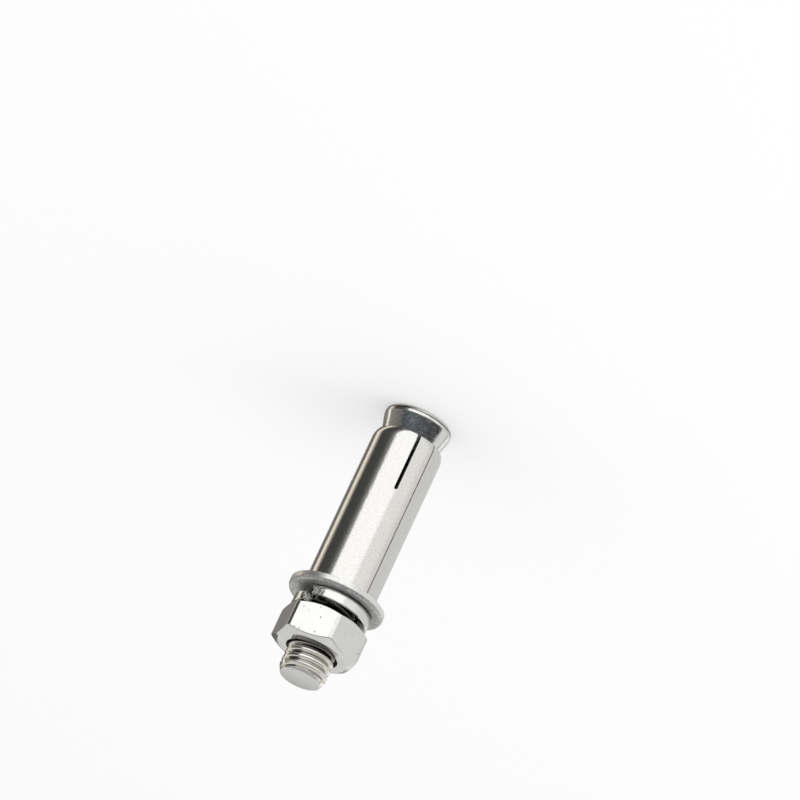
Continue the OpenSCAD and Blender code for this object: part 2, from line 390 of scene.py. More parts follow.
def thread_tree():
    """A tube whose surface is a screw thread: rolled on the bolt, cut in the nut.

    The rows of its grid climb with the thread, one pitch in each turn, and are held at both ends.
    """
    tree, given = new_tree("screw_thread", "Geometry", {
        "Float": ["Pitch", "Crest", "Root", "Start", "End", "Start Radius", "End Radius", "End Slope",
                  "Run Out", "Origin", "First Turn", "Side", "Rows"],
        "Int": ["Sides"],
        "Material": ["Steel"],
    }, {"Geometry": ["Geometry"]})
    pitch, start, end = given["Pitch"], given["Start"], given["End"]
    step = calc("DIVIDE", pitch, given["Rows"])
    tall = calc("ADD", calc("SUBTRACT", end, start), calc("MULTIPLY", pitch, SPARE_PITCHES))
    rows = calc("CEIL", calc("DIVIDE", tall, step))
    grid = wire(tree, "GeometryNodeMeshGrid", {
        "Size X": 1.0, "Size Y": 1.0,
        "Vertices X": calc("ADD", given["Sides"], 1.0), "Vertices Y": calc("ADD", rows, 1.0),
    })
    # The grid is one wide and one high round its middle
    across, along, _ = split(wire(tree, "GeometryNodeInputPosition"))
    turn = calc("ADD", across, 0.5)
    row = calc("MULTIPLY", calc("ADD", along, 0.5), rows)
    whole_turn = calc("ADD", turn, given["First Turn"])

    # The lowest row starts on a step of the thread, under the start by a pitch or a little more
    anchor = calc("MULTIPLY_ADD", pitch, given["First Turn"], given["Origin"])
    below = calc("SUBTRACT", calc("SUBTRACT", start, pitch), anchor)
    first_row = calc("FLOOR", calc("DIVIDE", below, step))
    height = calc("MULTIPLY_ADD", calc("ADD", row, first_row), step, anchor)
    height = calc("MULTIPLY_ADD", pitch, turn, height)
    height = calc("MINIMUM", calc("MAXIMUM", height, start), end)

    # Share of a pitch between the point and the nearest root, and how much of the depth is left there.
    # Broad crests with rounded shoulders, between narrow grooves
    climbed = calc("DIVIDE", calc("SUBTRACT", height, given["Origin"]), pitch)
    phase = calc("FRACT", calc("SUBTRACT", climbed, whole_turn))
    from_root = calc("ABSOLUTE", calc("SUBTRACT", phase, 0.5))
    straight = map_range(from_root, FLANK_FOOT, FLANK_TOP, kind="LINEAR")
    from_crest = map_range(from_root, FLANK_FOOT, 0.5, 1.0, 0.0, kind="LINEAR")
    rounded = calc("SUBTRACT", 1.0, calc("POWER", from_crest, SHOULDER_POWER))
    share = calc("MULTIPLY", calc("ADD", straight, rounded), 0.5)
    depth = calc("SUBTRACT", given["Crest"], given["Root"])
    thread = calc("MULTIPLY_ADD", depth, share, given["Root"])

    # Chamfers at both ends, outside on the bolt and inside in the nut
    side, foot_radius = given["Side"], given["Start Radius"]
    above = calc("MULTIPLY_ADD", side, foot_radius, calc("SUBTRACT", height, start))
    taper = calc("MULTIPLY", calc("SUBTRACT", end, height), given["End Slope"])
    under = calc("MULTIPLY_ADD", side, given["End Radius"], taper)
    held = calc("MINIMUM", calc("MULTIPLY", side, thread), calc("MINIMUM", above, under))
    held = calc("MULTIPLY", side, held)
    fade = map_range(height, start, calc("ADD", start, given["Run Out"]))
    radius = calc("MULTIPLY_ADD", calc("SUBTRACT", held, foot_radius), fade, foot_radius)

    angle = calc("MULTIPLY", whole_turn, 2 * math.pi)
    shaped = move_points(grid, round_z(radius, angle, height))
    welded = wire(tree, "GeometryNodeMergeByDistance", {"Geometry": shaped, "Distance": WELD})
    return end_tree(tree, welded, given["Steel"])


def grow(tree, values):
    """The mesh that a Geometry Nodes tree makes from values named as its inputs are."""
    carrier = bpy.data.objects.new("carrier", bpy.data.meshes.new("carrier"))
    bpy.context.scene.collection.objects.link(carrier)
    modifier = carrier.modifiers.new("grow", "NODES")
    modifier.node_group = tree
    for item in tree.interface.items_tree:
        if item.in_out == "INPUT":
            modifier[item.identifier] = values[item.name]
    mesh = bpy.data.meshes.new_from_object(carrier.evaluated_get(bpy.context.evaluated_depsgraph_get()))
    # A grid brings an empty first slot along, and the piece's first slot is meant
    for face in mesh.polygons:
        face.material_index = 0
    carrier.modifiers.remove(modifier)
    bpy.data.objects.remove(carrier)
    return mesh


def arc(x, z, radius, first, last, steps=8):
    """Points on an arc of a turned profile, between two angles in degrees."""
    turns = [math.radians(first + (last - first) * i / steps) for i in range(steps + 1)]
    return [(x + radius * math.cos(t), z + radius * math.sin(t)) for t in turns]


def soften(points, cut):
    """Rounds each inner corner of a profile over the distance cut, with a holding point on both sides."""
    done = [points[0]]
    for before, point, after in zip(points, points[1:], points[2:]):
        corner = Vector(point)
        sides = [Vector(other) - corner for other in (before, after)]
        reaches = [min(cut, side.length * EASE_SHARE) for side in sides]
        first, last = [corner + side.normalized() * reach for side, reach in zip(sides, reaches)]
        done.append(tuple(corner + sides[0].normalized() * reaches[0] * EASE_HOLD))
        for k in range(EASE_STEPS + 1):
            t = k / EASE_STEPS
            done.append(tuple(first * (1 - t) ** 2 + corner * 2 * t * (1 - t) + last * t ** 2))
        done.append(tuple(corner + sides[1].normalized() * reaches[1] * EASE_HOLD))
    return done + [points[-1]]


def turn_profile(mesh, profile_at, sides, material, first=0.0):
    """Adds the surface that a profile sweeps round Z. profile_at(angle) gives its (radius, height) points."""
    columns = []
    for i in range(sides):
        angle = first + 2 * math.pi * i / sides
        columns.append([
            mesh.verts.new((r * math.cos(angle), r * math.sin(angle), z)) for r, z in profile_at(angle)
        ])
    for a, b in zip(columns, columns[1:] + columns[:1]):
        for k in range(len(a) - 1):
            mesh.faces.new((a[k], b[k], b[k + 1], a[k + 1])).material_index = material


def finish_mesh(mesh, name, materials, sharp=SHARP):
    """Welds the points, turns the faces outwards and makes the object, with its place in its mesh."""
    bmesh.ops.remove_doubles(mesh, verts=mesh.verts, dist=WELD)
    bmesh.ops.dissolve_degenerate(mesh, edges=mesh.edges, dist=WELD / 4)
    bmesh.ops.recalc_face_normals(mesh, faces=mesh.faces)
    data = bpy.data.meshes.new(name)
    mesh.to_mesh(data)
    mesh.free()
    data.shade_smooth()
    data.set_sharp_from_angle(angle=sharp)
    for material in materials:
        data.materials.append(material)
    piece = bpy.data.objects.new(name, data)
    bpy.context.scene.collection.objects.link(piece)
    return piece


def round_skin_group():
    """Coordinates laid flat round a turned surface: length round the surface, height and nothing."""
    tree, given = new_tree("round_skin", "Shader",
                           {"Vector": ["Point"], "Float": ["Radius"]}, {"Vector": ["Flat"]})
    x, y, z = split(given["Point"])
    length = calc("MULTIPLY", calc("ARCTAN2", y, x), given["Radius"])
    return close_tree(tree, {"Flat": wire(tree, "ShaderNodeCombineXYZ", {"X": length, "Y": z})})


def grain_group():
    """Fine grain of a tumbled or rolled surface, and broad patches where it is duller."""
    tree, given = new_tree("steel_grain", "Shader",
                           {"Vector": ["Point"], "Float": ["Grain Size", "Patch Size"]},
                           {"Float": ["Grain", "Patches"]})
    results = {}
    for label, size, detail in (("Grain", "Grain Size", 2.0), ("Patches", "Patch Size", 4.0)):
        results[label] = wire(tree, "ShaderNodeTexNoise", {
            "Vector": given["Point"], "Scale": calc("DIVIDE", 1.0, given[size]),
            "Detail": detail, "Roughness": 0.6,
        })
    return close_tree(tree, results)


def scratch_group():
    """Thin straight scratches on flat coordinates: 1 in a scratch and 0 beside it."""
    tree, given = new_tree("scratches", "Shader",
                           {"Vector": ["Flat"], "Float": ["Slope", "Width", "Length", "Share"]},
                           {"Float": ["Marks"]})
    turned = wire(tree, "ShaderNodeVectorRotate", {"Vector": given["Flat"], "Angle": given["Slope"]},
                  rotation_type="Z_AXIS")
    x, y, _ = split(turned)
    stretched = wire(tree, "ShaderNodeCombineXYZ", {
        "X": calc("DIVIDE", x, given["Width"]), "Y": calc("DIVIDE", y, given["Length"]),
    })
    lines = wire(tree, "ShaderNodeTexNoise",
                 {"Vector": stretched, "Scale": 1.0, "Detail": 3.0, "Roughness": 0.7})
    # A scratch is where the noise passes a limit, which falls as the scratches' share grows
    low = calc("SUBTRACT", 0.75, calc("MULTIPLY", given["Share"], 0.25))
    return close_tree(tree, {"Marks": map_range(lines, low, calc("ADD", low, 0.06))})


round_skin = round_skin_group()
grain = grain_group()
scratches = scratch_group()


def use_group(group, **inputs):
    """Places a node group in a material and returns its outputs."""
    named = {name.replace("_", " "): term for name, term in inputs.items()}
    return wire(tree_of(*inputs.values()), "ShaderNodeGroup", named, node_tree=group).outputs


def bare_steel(name, grain_size, patch_size):
    """A new material, its Object coordinates, and the grain and patches on them."""
    material = bpy.data.materials.new(name)
    material.use_nodes = True
    point = wire(material.node_tree, "ShaderNodeTexCoord").outputs["Object"]
    return material, point, use_group(grain, Point=point, Grain_Size=grain_size, Patch_Size=patch_size)


def speckled(surface):
    """0 in the dark specks of the grain and 1 in the bright ones."""
    return map_range(surface["Grain"], *GRAIN_SPREAD, kind="LINEAR")


def patchy(surface, smooth, dull):
    """Roughness that changes from patch to patch."""
    return map_range(surface["Patches"], *PATCH_SPREAD, smooth, dull)


def dress(material, colour, roughness, height=None, relief=0.0, metallic=1.0, specular=0.5):
    """Gives a material its colour and roughness, and the bumps of a height, which are relief deep."""
    tree = material.node_tree
    shader = tree.nodes["Principled BSDF"].inputs
    feed(tree, shader["Base Color"], colour)
    feed(tree, shader["Roughness"], roughness)
    feed(tree, shader["Metallic"], metallic)
    feed(tree, shader["Specular IOR Level"], specular)
    if height is not None:
        bump = wire(tree, "ShaderNodeBump", {"Height": height, "Strength": 1.0, "Distance": relief})
        feed(tree, shader["Normal"], bump)
    return material


def cone_steel():
    """Headed and ground flank: crossed fine scratches on a patchy bright ground, and a dark parting line."""
    material, point, surface = bare_steel("cone_steel", grain_size=0.15 * MM, patch_size=1.2 * MM)
    flat = use_group(round_skin, Point=point, Radius=CONE_SKIN)["Flat"]
    rising = use_group(scratches, Flat=flat, Slope=0.85, Width=0.1 * MM, Length=1.6 * MM, Share=0.78)
    falling = use_group(scratches, Flat=flat, Slope=-0.7, Width=0.12 * MM, Length=1.2 * MM, Share=0.6)
    marks = calc("MAXIMUM", rising["Marks"], falling["Marks"])
    off = calc("ABSOLUTE", calc("SUBTRACT", split(point)["Z"], PARTING_HEIGHT))
    line = map_range(off, *PARTING_REACH, 0.92, 0.0)
    ground = mix_colour(speckled(surface), *CONE_GREYS)
    return dress(material, mix_colour(line, ground, PARTING_COLOUR),
                 calc("MULTIPLY_ADD", marks, 0.2, patchy(surface, smooth=0.10, dull=0.18)),
                 calc("MULTIPLY", marks, -1.0), relief=0.0016 * MM)


def thread_steel():
    """Rolled flanks: smooth and burnished, with painted shade in the roots of the thread and where it goes
    into the nut.
    """
    material, point, surface = bare_steel("thread_steel", grain_size=0.5 * MM, patch_size=1.1 * MM)
    x, y, height = split(point)
    # Painted shade in the roots of the thread
    root_shade = map_range(off_axis(x, y), THREAD_ROOT, THREAD_ROOT + ROOT_SHADE_DEPTH, 0.5, 0.0)
    # Painted shade where the thread goes into the nut, from under the washers to a ragged edge just over the
    # nut's top
    above = map_range(height, shade_foot - NUT_SHADE_START, shade_foot, 0.0, 0.85)
    ragged = calc("MULTIPLY_ADD", surface["Grain"], -NUT_SHADE_RAGGED, height)
    nut_shade = map_range(ragged, *[shade_top + over for over in NUT_SHADE_END], above, 0.0)
    ground = mix_colour(surface["Patches"], *THREAD_GREYS)
    painted_shade = calc("MAXIMUM", root_shade, nut_shade)
    return dress(material, mix_colour(painted_shade, ground, THREAD_SHADE_COLOUR),
                 patchy(surface, smooth=0.10, dull=0.20), surface["Grain"], relief=0.006 * MM)


def face_steel():
    """Cut and tumbled end faces, satin and even."""
    material, point, surface = bare_steel("face_steel", grain_size=0.18 * MM, patch_size=2.2 * MM)
    return dress(material, mix_colour(surface["Patches"], *END_GREYS),
                 patchy(surface, smooth=0.28, dull=0.40), surface["Grain"], relief=0.004 * MM)


screw_thread = thread_tree()
THREAD_SLOT, CONE_SLOT, FACE_SLOT = 0, 1, 2
bolt_materials = [thread_steel(), cone_steel(), face_steel()]


def make_bolt():
    cone_top = RIM_HEIGHT + (RIM_RADIUS - SHANK_RADIUS) / math.tan(CONE_ANGLE)
    neck_z = cone_top + NECK_ROUND * math.tan(CONE_ANGLE / 2)
    neck = arc(SHANK_RADIUS + NECK_ROUND, neck_z, NECK_ROUND, 180 + math.degrees(CONE_ANGLE), 180)
    rim = arc(RIM_RADIUS - RIM_ROUND, RIM_ROUND, RIM_ROUND, -90, 0, 12)
    corner = soften([rim[-1], (RIM_RADIUS, RIM_HEIGHT), neck[0]], RIM_EASE)
    point_foot = bolt_end - POINT_ROUND
    point_radius = THREAD_ROOT + POINT_ROUND * POINT_SLOPE
    mesh = bmesh.new()
    mesh.from_mesh(grow(screw_thread, {
        "Pitch": PITCH, "Crest": THREAD_CREST, "Root": THREAD_ROOT, "Start": thread_start, "End": point_foot,
        "Start Radius": SHANK_RADIUS, "End Radius": point_radius, "End Slope": POINT_SLOPE,
        "Run Out": THREAD_RUNOUT, "Origin": crest_height, "First Turn": 0.0, "Side": 1.0,
        "Rows": float(THREAD_ROWS), "Sides": BOLT_SIDES, "Steel": bolt_materials[THREAD_SLOT],
    }))
    turn_profile(mesh, lambda _: [(0, 0)] + rim[:1], BOLT_SIDES, FACE_SLOT)
    turn_profile(mesh, lambda _: rim + corner[1:-1] + neck, BOLT_SIDES, CONE_SLOT)
    turn_profile(mesh, lambda _: [neck[-1], (SHANK_RADIUS, thread_start)], BOLT_SIDES, THREAD_SLOT)
    point = arc(point_radius - POINT_ROUND, point_foot, POINT_ROUND, 0, 90, 5)
    turn_profile(mesh, lambda _: point + [(0, bolt_end)], BOLT_SIDES, FACE_SLOT)
    piece = finish_mesh(mesh, "cone_bolt_piece", bolt_materials)
    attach(piece, "bolt")
    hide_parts("cone_bolt")


make_bolt()


# Expansion sleeve
# A strip of bright stainless sheet, cut with four slots along one edge and rolled into a tube round the
# bolt, with its ends meeting in a butt seam. The legs between the slots are swaged in over the cone.

SLEEVE_RADIUS = 5.85 * MM
SLEEVE_BORE = 4.85 * MM
SWAGE_LENGTH = 1.5 * MM
SWAGE_DEPTH = 0.42 * MM
SLIT_HALF = 0.275 * MM
SLIT_LENGTH = 10.2 * MM
SLIT_TURNS = (0, 90, 180, 270)
SEAM_TURN = -122
SEAM_HALF = 0.04 * MM
EDGE_BREAK = 0.05 * MM
# Edges that turn by more than this are broken
BREAK_ANGLE = math.radians(50)
SHEET_SLOT, CUT_SLOT = 0, 1
# Degrees between the columns of the rolled strip. Columns in step stop so many steps short of a slit or
# of the seam, and a column stands so many steps off on each side of a slit
COLUMN_STEP = 1.5
STEPS_SHORT = 1.9
STEPS_BESIDE = 2.4
# Steps across the round end of a slit
SLIT_STEPS = 8
# Rows of the strip: shares of the swaged length, and how far others stand from a slit's end and the top
SWAGE_ROWS = (0.0, 0.04, 0.12, 0.25, 0.38, 0.5, 0.62, 0.75, 0.88, 1.0)
ROW_UNDER_ROUND = 1.2 * MM
ROWS_OVER_SLIT = (0.25 * MM, 2 * MM)
ROW_UNDER_TOP = 0.4 * MM

SHEET_GREYS = ((0.545, 0.538, 0.523), (0.645, 0.640, 0.628))
# Colour of the painted shade along the seam
SEAM_SHADE = (0.12, 0.115, 0.105)
# How far from the seam its painted shade is full and present, and how ragged it is
SEAM_SHADE_REACH = (-0.04 * MM, 0.14 * MM)
SEAM_RAGGED = 0.2 * MM
# Painted shade: near-black greys for the walls inside the slits and the seam
CUT_WALL_SHADE_GREYS = ((0.05, 0.048, 0.045), (0.14, 0.135, 0.125))
# Heights over the mouth between which the marks of the swaging die fade out
SWAGE_MARKS = (2 * MM, 6 * MM)

sleeve_mouth, sleeve_top = [corner.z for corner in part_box("expansion_sleeve")]
slit_end = sleeve_mouth + SLIT_LENGTH
slit_round = slit_end - SLIT_HALF


def outside_radius(height):
    """Radius of the sleeve's outside, which is swaged in towards the mouth."""
    swage = (SWAGE_LENGTH ** 2 + SWAGE_DEPTH ** 2) / (2 * SWAGE_DEPTH)
    short = max(0.0, sleeve_mouth + SWAGE_LENGTH - height)
    return SLEEVE_RADIUS - swage + math.sqrt(swage ** 2 - short ** 2)


def strip_columns():
    """Columns from seam to seam as (turn, offset): offset is how far the column stands beside that turn."""
    columns = [(SEAM_TURN, SEAM_HALF)]
    slits = sorted((turn - SEAM_TURN) % 360 + SEAM_TURN for turn in SLIT_TURNS)
    turn = SEAM_TURN + COLUMN_STEP
    for slit in slits + [SEAM_TURN + 360]:
        while turn < slit - COLUMN_STEP * STEPS_SHORT:
            columns.append((turn, 0.0))
            turn += COLUMN_STEP
        if slit in slits:
            columns.append((slit - COLUMN_STEP * STEPS_BESIDE, 0.0))
            for i in range(SLIT_STEPS + 1):
                across = -math.cos(math.pi * i / SLIT_STEPS)
                columns.append((slit, SLIT_HALF * across if abs(across) > 1e-6 else 0.0))
            columns.append((slit + COLUMN_STEP * STEPS_BESIDE, 0.0))
            turn = slit + COLUMN_STEP * (STEPS_BESIDE + 1)
    return columns + [(SEAM_TURN + 360, -SEAM_HALF)], slits


def make_sleeve_mesh(mesh):
    columns, slits = strip_columns()
    heights = [sleeve_mouth + SWAGE_LENGTH * share for share in SWAGE_ROWS]
    heights += [slit_round - ROW_UNDER_ROUND, slit_round] + [slit_end + over for over in ROWS_OVER_SLIT]
    heights += [(slit_end + sleeve_top) / 2, sleeve_top - ROW_UNDER_TOP, sleeve_top]
    over_slit = [h for h in heights if h > slit_end]
    made = {}

    def pair(column, height):
        """The outer and inner point of a column at a height, made once."""
        turn, offset = columns[column]
        if (column, height) not in made:
            points = []
            for radius in (outside_radius(height), SLEEVE_BORE):
                angle = math.radians(turn) + math.asin(offset / radius)
                points.append(mesh.verts.new((radius * math.cos(angle), radius * math.sin(angle), height)))
            made[column, height] = points
        return made[column, height]

    def levels(column, in_slit):
        """Heights of a column's points, from its foot to the top."""
        if not in_slit:
            return heights
        offset = columns[column][1]
        return [slit_round + math.sqrt(max(0.0, SLIT_HALF ** 2 - offset ** 2))] + over_slit

    for i in range(len(columns) - 1):
        in_slit = columns[i][0] in slits and columns[i][0] == columns[i + 1][0]
        left = [pair(i, h) for h in levels(i, in_slit)]
        right = [pair(i + 1, h) for h in levels(i + 1, in_slit)]
        for k in range(len(left) - 1):
            mesh.faces.new((left[k][0], right[k][0], right[k + 1][0], left[k + 1][0]))
            mesh.faces.new((left[k][1], left[k + 1][1], right[k + 1][1], right[k][1]))
        foot = mesh.faces.new((left[0][0], left[0][1], right[0][1], right[0][0]))
        foot.material_index = CUT_SLOT if in_slit else SHEET_SLOT
        mesh.faces.new((left[-1][0], right[-1][0], right[-1][1], left[-1][1]))

    def close_side(column, top):
        """The cut wall of a slit or of the seam, from the mouth to a height."""
        row = [pair(column, h) for h in heights if h <= top]
        for low, high in zip(row, row[1:]):
            mesh.faces.new((low[0], high[0], high[1], low[1])).material_index = CUT_SLOT

    close_side(0, sleeve_top)
    close_side(len(columns) - 1, sleeve_top)
    for i, (turn, offset) in enumerate(columns):
        if turn in slits and abs(abs(offset) - SLIT_HALF) < WELD:
            close_side(i, slit_round)


def speck_group():
    """Round specks of several sizes, in a share of the cells: 1 in a speck and 0 beside it."""
    tree, given = new_tree("specks", "Shader",
                           {"Vector": ["Point"], "Float": ["Cell Size", "Empty Share", "Reach", "Soft Edge"]},
                           {"Float": ["Specks"]})
    cells = wire(tree, "ShaderNodeTexVoronoi", {
        "Vector": given["Point"], "Scale": calc("DIVIDE", 1.0, given["Cell Size"]),
    }).outputs
    chance = wire(tree, "ShaderNodeSeparateColor", {0: cells["Color"]})
    reach = map_range(chance, given["Empty Share"], 1.0, 0.0, given["Reach"], kind="LINEAR")
    past = calc("SUBTRACT", cells["Distance"], reach)
    inside = calc("MULTIPLY", given["Soft Edge"], -1.0)
    return close_tree(tree, {"Specks": map_range(past, inside, 0.0, 1.0, 0.0)})


specks = speck_group()


def sheet_steel():
    """Bright rolled sheet with a fine grain, swaging marks round its mouth and painted shade along the seam.
    """
    material, point, surface = bare_steel("sheet_steel", grain_size=0.38 * MM, patch_size=2.5 * MM)
    flat = use_group(round_skin, Point=point, Radius=SLEEVE_RADIUS)["Flat"]
    fine = use_group(grain, Point=point, Grain_Size=0.16 * MM, Patch_Size=0.7 * MM)
    along = use_group(scratches, Flat=flat, Slope=0.03, Width=0.12 * MM, Length=14 * MM, Share=0.5)
    around = use_group(scratches, Flat=flat, Slope=math.radians(91), Width=0.22 * MM,
                       Length=6 * MM, Share=0.6)
    length, height, _ = split(flat)
    swaged = map_range(height, *[sleeve_mouth + over for over in SWAGE_MARKS], 1.0, 0.0)
    marks = calc("MULTIPLY_ADD", around["Marks"], swaged, calc("MULTIPLY", along["Marks"], 0.5))
    # Painted shade on both sides of the seam, wider and narrower along it
    off = calc("ABSOLUTE", calc("SUBTRACT", length, math.radians(SEAM_TURN) * SLEEVE_RADIUS))
    ragged_seam_off = calc("MULTIPLY_ADD", surface["Grain"], -SEAM_RAGGED, off)
    painted_shade = map_range(ragged_seam_off, *SEAM_SHADE_REACH, 0.55, 0.0)
    ground = mix_colour(speckled(fine), *SHEET_GREYS)
    dull_specks = use_group(specks, Point=point, Cell_Size=0.4 * MM, Empty_Share=0.5, Reach=0.3,
                            Soft_Edge=0.16)["Specks"]
    return dress(material, mix_colour(painted_shade, ground, SEAM_SHADE),
                 calc("MULTIPLY_ADD", dull_specks, 0.14, patchy(fine, smooth=0.07, dull=0.15)),
                 calc("SUBTRACT", surface["Grain"], calc("MULTIPLY", marks, 0.2)), relief=0.011 * MM)


def cut_wall_shade_steel():
    """Walls of the slits and the seam: torn by the saw, dull, and painted nearly black as painted shade
    inside the narrow cuts.
    """
    material, point, surface = bare_steel("cut_wall_shade_steel", grain_size=0.1 * MM, patch_size=0.6 * MM)
    return dress(material, mix_colour(surface["Patches"], *CUT_WALL_SHADE_GREYS), roughness=0.5)


def make_sleeve():
    mesh = bmesh.new()
    make_sleeve_mesh(mesh)
    bmesh.ops.recalc_face_normals(mesh, faces=mesh.faces)
    edges = [e for e in mesh.edges if len(e.link_faces) == 2 and e.calc_face_angle() > BREAK_ANGLE]
    bmesh.ops.bevel(mesh, geom=edges, offset=EDGE_BREAK, segments=2, profile=0.5, affect="EDGES",
                    clamp_overlap=False)
    piece = finish_mesh(mesh, "expansion_sleeve_piece", [sheet_steel(), cut_wall_shade_steel()])
    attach(piece, "sleeve")
    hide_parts("expansion_sleeve")


make_sleeve()


# Flat washer
# Punched from stainless sheet and tumbled: the punch rounds the rim of its upper face, and the die side
# keeps a sharper edge.

WASHER_HOLE = 4.2 * MM
HOLE_ROUND = 0.15 * MM
WASHER_ROUND = 0.5 * MM
# Degrees from level at which that rounding meets the side of the rim, in a faint edge
SHOULDER_START = 50
WASHER_SHARP = math.radians(24)
# Rounding that tumbling leaves on the die side
WASHER_BURR = 0.15 * MM
# How far the points that hold a face flat stand off its roundings, and off the burr on the rim's side
FACE_HOLD = 0.05 * MM
SIDE_HOLD = 0.02 * MM
WASHER_SIDES = 192
FACE_SIDE, RIM_SIDE = 0, 1

# The faces' greys are set dark as painted shade; the rim's burnished side keeps bright greys
TUMBLED_SHADE_GREYS = ((0.36, 0.365, 0.36), (0.58, 0.58, 0.575))
BURNISHED_GREYS = ((0.62, 0.62, 0.615), (0.82, 0.82, 0.815))

washer_low, washer_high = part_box("flat_washer")
washer_rim = -washer_low.x


def washer_steel():
    """Faces and rounded rim, tumbled to a mottled satin with small dents, in greys set darker than the other
    steels as painted shade.
    """
    material, point, surface = bare_steel("washer_steel", grain_size=0.4 * MM, patch_size=2.4 * MM)
    return dress(material, mix_colour(speckled(surface), *TUMBLED_SHADE_GREYS),
                 patchy(surface, smooth=0.44, dull=0.56), surface["Grain"], relief=0.022 * MM)


def burnished_steel():
    """Side of the rim, which the die has burnished to a bright band."""
    material, point, surface = bare_steel("burnished_steel", grain_size=0.3 * MM, patch_size=1.8 * MM)
    return dress(material, mix_colour(surface["Grain"], *BURNISHED_GREYS),
                 patchy(surface, smooth=0.32, dull=0.44), surface["Grain"], relief=0.006 * MM)


def make_washer():
    bottom, top = washer_low.z, washer_high.z
    round_foot, round_edge = top - WASHER_ROUND, washer_rim - WASHER_ROUND
    lower = arc(washer_rim - WASHER_BURR, bottom + WASHER_BURR, WASHER_BURR, -90, 0, 4)
    shoulder = (washer_rim, round_foot)
    side = [(washer_rim, lower[-1][1] + SIDE_HOLD), shoulder]
    faces = [shoulder] + arc(round_edge, round_foot, WASHER_ROUND, SHOULDER_START, 90, 5)
    faces += [(round_edge - FACE_HOLD, top), (WASHER_HOLE + HOLE_ROUND + FACE_HOLD, top)]
    faces += arc(WASHER_HOLE + HOLE_ROUND, top - HOLE_ROUND, HOLE_ROUND, 90, 180, 3)
    faces += [(WASHER_HOLE, bottom), lower[0]]
    mesh = bmesh.new()
    turn_profile(mesh, lambda _: faces, WASHER_SIDES, FACE_SIDE)
    turn_profile(mesh, lambda _: lower + side, WASHER_SIDES, RIM_SIDE)
    piece = finish_mesh(mesh, "flat_washer_piece", [washer_steel(), burnished_steel()], sharp=WASHER_SHARP)
    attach(piece, "sleeve")
    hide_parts("flat_washer")


make_washer()


# Spring washer
# Rolled wire of square-edged section wound one turn left-handed, cut off and hardened. The shear leaves
# both cut ends crushed and rough, and they bite into washer and nut.

SPRING_WIDTH = 2.1 * MM
SPRING_THICKNESS = 1.9 * MM
SPRING_CORNER = 0.12 * MM
SPRING_GAP = 0.6 * MM
SPRING_SLANT = math.radians(12)
SPRING_TURN = math.radians(-33)
SPRING_STEPS = 150
SECTION_STEPS = 72
CORNER_STEPS = 4
# How much closer together the sections stand at the ends, and how far and deep each end is rounded
SPRING_GATHER = 0.92
END_REACH = 0.6 * MM
END_SHRINK = 0.28
# Reaches of the bruises at the lower and the upper cut end, and their depth and size
BRUISE_REACHES = (2.2 * MM, 0.9 * MM)
BRUISE_DEPTH = 0.2 * MM
BRUISE_SIZE = 0.42 * MM
TORN_RINGS = 4
TORN_RING_WIDTH = 0.16 * MM
TORN_SLOT = 1

# Painted light: pale greys that keep the torn ends bright in the shade between washer and nut
TORN_PAINTED_LIGHT_GREYS = ((0.5, 0.495, 0.48), (0.95, 0.95, 0.94))
DRAWN_GREYS = ((0.56, 0.56, 0.55), (0.68, 0.68, 0.67))
CRUSHED_GREYS = ((0.12, 0.12, 0.115), (0.92, 0.92, 0.91))
# Where the crushed colour gives way to bright wire, measured from the lower cut end, and how ragged it is
CRUSHED_EDGE = (2.2 * MM, 2.5 * MM)
CRUSHED_RAGGED = 1.2 * MM

spring_low, spring_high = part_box("spring_washer")
spring_middle = spring_high.x - SPRING_WIDTH / 2


